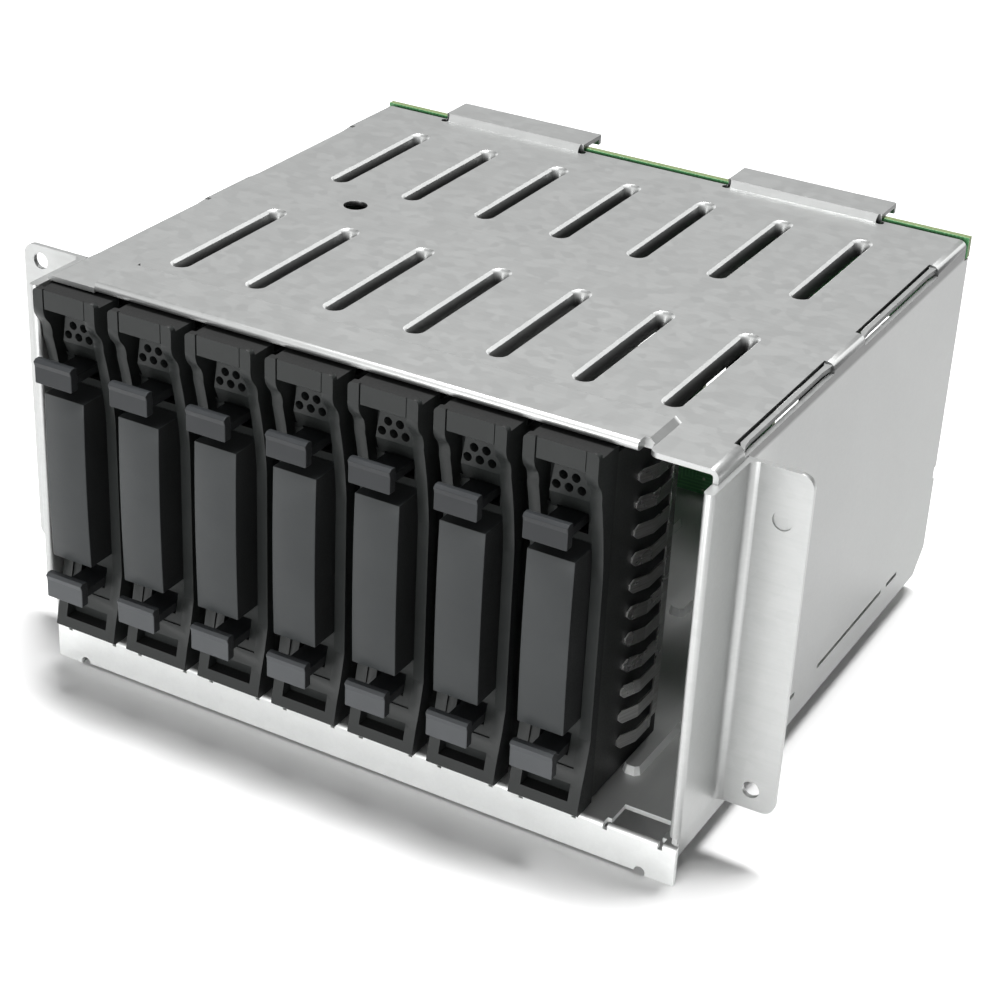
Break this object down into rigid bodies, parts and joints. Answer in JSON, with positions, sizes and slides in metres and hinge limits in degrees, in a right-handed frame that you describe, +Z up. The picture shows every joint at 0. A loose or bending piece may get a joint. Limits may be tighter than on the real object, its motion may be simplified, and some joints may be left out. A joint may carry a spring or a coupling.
{
  "type": "hot swap drive cage",
  "caption": "Sheet-metal drive cage with upright bays behind push-latch blanks, one bay left open, and a backplane across its rear.",
  "frame": {"origin": "centre of the bounding box, on the plane of the front skirt's feet", "axes": "+X across the bays to the open bay's side, +Y from the bezels to the backplane, +Z up"},
  "size_m": [0.1676, 0.144, 0.0855],
  "materials": {
    "galvanised_steel": "zinc-coated sheet, fine grain, satin",
    "floor_steel": "zinc-coated sheet, fine grain, satin",
    "board_laminate": "green solder mask over pale fibreglass",
    "port_shield": "tinned steel",
    "header_plastic": "glass-filled plastic, matte",
    "connector_plastic": "glass-filled plastic, matte",
    "screw_steel": "nickel-plated steel",
    "bezel_plastic": "charcoal plastic, fine spark texture",
    "carrier_plastic": "black plastic, matte",
    "panel_plastic": "dark grey plastic, smooth satin",
    "latch_plastic": "charcoal plastic, satin",
    "spring_steel": "stainless spring strip, satin"
  },
  "bodies": {
    "cage": {"cage_shell": "galvanised_steel", "floor_tray": "floor_steel", "backplane_board": "board_laminate", "left_data_port": "port_shield", "right_data_port": "port_shield", "power_header": "header_plastic", "board_screws": "screw_steel", "drive_connector_1": "connector_plastic", "drive_connector_2": "connector_plastic", "drive_connector_3": "connector_plastic", "drive_connector_4": "connector_plastic", "drive_connector_5": "connector_plastic", "drive_connector_6": "connector_plastic", "drive_connector_7": "connector_plastic", "drive_connector_8": "connector_plastic"},
    "blank_1": {"blank_1_bezel": "bezel_plastic", "blank_1_body": "carrier_plastic", "blank_1_grip_panel": "panel_plastic", "blank_1_finger_spring": "spring_steel"},
    "blank_1_upper_catch": {"blank_1_upper_latch": "latch_plastic"},
    "blank_1_lower_catch": {"blank_1_lower_latch": "latch_plastic"},
    "blank_2": {"blank_2_bezel": "bezel_plastic", "blank_2_body": "carrier_plastic", "blank_2_grip_panel": "panel_plastic", "blank_2_finger_spring": "spring_steel"},
    "blank_2_upper_catch": {"blank_2_upper_latch": "latch_plastic"},
    "blank_2_lower_catch": {"blank_2_lower_latch": "latch_plastic"},
    "blank_3": {"blank_3_bezel": "bezel_plastic", "blank_3_body": "carrier_plastic", "blank_3_grip_panel": "panel_plastic", "blank_3_finger_spring": "spring_steel"},
    "blank_3_upper_catch": {"blank_3_upper_latch": "latch_plastic"},
    "blank_3_lower_catch": {"blank_3_lower_latch": "latch_plastic"},
    "blank_4": {"blank_4_bezel": "bezel_plastic", "blank_4_body": "carrier_plastic", "blank_4_grip_panel": "panel_plastic", "blank_4_finger_spring": "spring_steel"},
    "blank_4_upper_catch": {"blank_4_upper_latch": "latch_plastic"},
    "blank_4_lower_catch": {"blank_4_lower_latch": "latch_plastic"},
    "blank_5": {"blank_5_bezel": "bezel_plastic", "blank_5_body": "carrier_plastic", "blank_5_grip_panel": "panel_plastic", "blank_5_finger_spring": "spring_steel"},
    "blank_5_upper_catch": {"blank_5_upper_latch": "latch_plastic"},
    "blank_5_lower_catch": {"blank_5_lower_latch": "latch_plastic"},
    "blank_6": {"blank_6_bezel": "bezel_plastic", "blank_6_body": "carrier_plastic", "blank_6_grip_panel": "panel_plastic", "blank_6_finger_spring": "spring_steel"},
    "blank_6_upper_catch": {"blank_6_upper_latch": "latch_plastic"},
    "blank_6_lower_catch": {"blank_6_lower_latch": "latch_plastic"},
    "blank_7": {"blank_7_bezel": "bezel_plastic", "blank_7_body": "carrier_plastic", "blank_7_grip_panel": "panel_plastic", "blank_7_finger_spring": "spring_steel"},
    "blank_7_upper_catch": {"blank_7_upper_latch": "latch_plastic"},
    "blank_7_lower_catch": {"blank_7_lower_latch": "latch_plastic"}
  },
  "joints": [
    {"name": "blank_1_slide", "type": "slide", "parent": "cage", "child": "blank_1", "axis": [0, -1, 0], "range_m": [0, 0.03]},
    {"name": "blank_1_upper_squeeze", "type": "slide", "parent": "blank_1", "child": "blank_1_upper_catch", "axis": [0, 0, -1], "range_m": [0, 0.0018], "stiffness_N_per_m": 250, "springref_m": -0.002},
    {"name": "blank_1_lower_squeeze", "type": "slide", "parent": "blank_1", "child": "blank_1_lower_catch", "axis": [0, 0, 1], "range_m": [0, 0.0018], "stiffness_N_per_m": 250, "springref_m": -0.002},
    {"name": "blank_2_slide", "type": "slide", "parent": "cage", "child": "blank_2", "axis": [0, -1, 0], "range_m": [0, 0.03]},
    {"name": "blank_2_upper_squeeze", "type": "slide", "parent": "blank_2", "child": "blank_2_upper_catch", "axis": [0, 0, -1], "range_m": [0, 0.0018], "stiffness_N_per_m": 250, "springref_m": -0.002},
    {"name": "blank_2_lower_squeeze", "type": "slide", "parent": "blank_2", "child": "blank_2_lower_catch", "axis": [0, 0, 1], "range_m": [0, 0.0018], "stiffness_N_per_m": 250, "springref_m": -0.002},
    {"name": "blank_3_slide", "type": "slide", "parent": "cage", "child": "blank_3", "axis": [0, -1, 0], "range_m": [0, 0.03]},
    {"name": "blank_3_upper_squeeze", "type": "slide", "parent": "blank_3", "child": "blank_3_upper_catch", "axis": [0, 0, -1], "range_m": [0, 0.0018], "stiffness_N_per_m": 250, "springref_m": -0.002},
    {"name": "blank_3_lower_squeeze", "type": "slide", "parent": "blank_3", "child": "blank_3_lower_catch", "axis": [0, 0, 1], "range_m": [0, 0.0018], "stiffness_N_per_m": 250, "springref_m": -0.002},
    {"name": "blank_4_slide", "type": "slide", "parent": "cage", "child": "blank_4", "axis": [0, -1, 0], "range_m": [0, 0.03]},
    {"name": "blank_4_upper_squeeze", "type": "slide", "parent": "blank_4", "child": "blank_4_upper_catch", "axis": [0, 0, -1], "range_m": [0, 0.0018], "stiffness_N_per_m": 250, "springref_m": -0.002},
    {"name": "blank_4_lower_squeeze", "type": "slide", "parent": "blank_4", "child": "blank_4_lower_catch", "axis": [0, 0, 1], "range_m": [0, 0.0018], "stiffness_N_per_m": 250, "springref_m": -0.002},
    {"name": "blank_5_slide", "type": "slide", "parent": "cage", "child": "blank_5", "axis": [0, -1, 0], "range_m": [0, 0.03]},
    {"name": "blank_5_upper_squeeze", "type": "slide", "parent": "blank_5", "child": "blank_5_upper_catch", "axis": [0, 0, -1], "range_m": [0, 0.0018], "stiffness_N_per_m": 250, "springref_m": -0.002},
    {"name": "blank_5_lower_squeeze", "type": "slide", "parent": "blank_5", "child": "blank_5_lower_catch", "axis": [0, 0, 1], "range_m": [0, 0.0018], "stiffness_N_per_m": 250, "springref_m": -0.002},
    {"name": "blank_6_slide", "type": "slide", "parent": "cage", "child": "blank_6", "axis": [0, -1, 0], "range_m": [0, 0.03]},
    {"name": "blank_6_upper_squeeze", "type": "slide", "parent": "blank_6", "child": "blank_6_upper_catch", "axis": [0, 0, -1], "range_m": [0, 0.0018], "stiffness_N_per_m": 250, "springref_m": -0.002},
    {"name": "blank_6_lower_squeeze", "type": "slide", "parent": "blank_6", "child": "blank_6_lower_catch", "axis": [0, 0, 1], "range_m": [0, 0.0018], "stiffness_N_per_m": 250, "springref_m": -0.002},
    {"name": "blank_7_slide", "type": "slide", "parent": "cage", "child": "blank_7", "axis": [0, -1, 0], "range_m": [0, 0.03]},
    {"name": "blank_7_upper_squeeze", "type": "slide", "parent": "blank_7", "child": "blank_7_upper_catch", "axis": [0, 0, -1], "range_m": [0, 0.0018], "stiffness_N_per_m": 250, "springref_m": -0.002},
    {"name": "blank_7_lower_squeeze", "type": "slide", "parent": "blank_7", "child": "blank_7_lower_catch", "axis": [0, 0, 1], "range_m": [0, 0.0018], "stiffness_N_per_m": 250, "springref_m": -0.002}
  ]
}
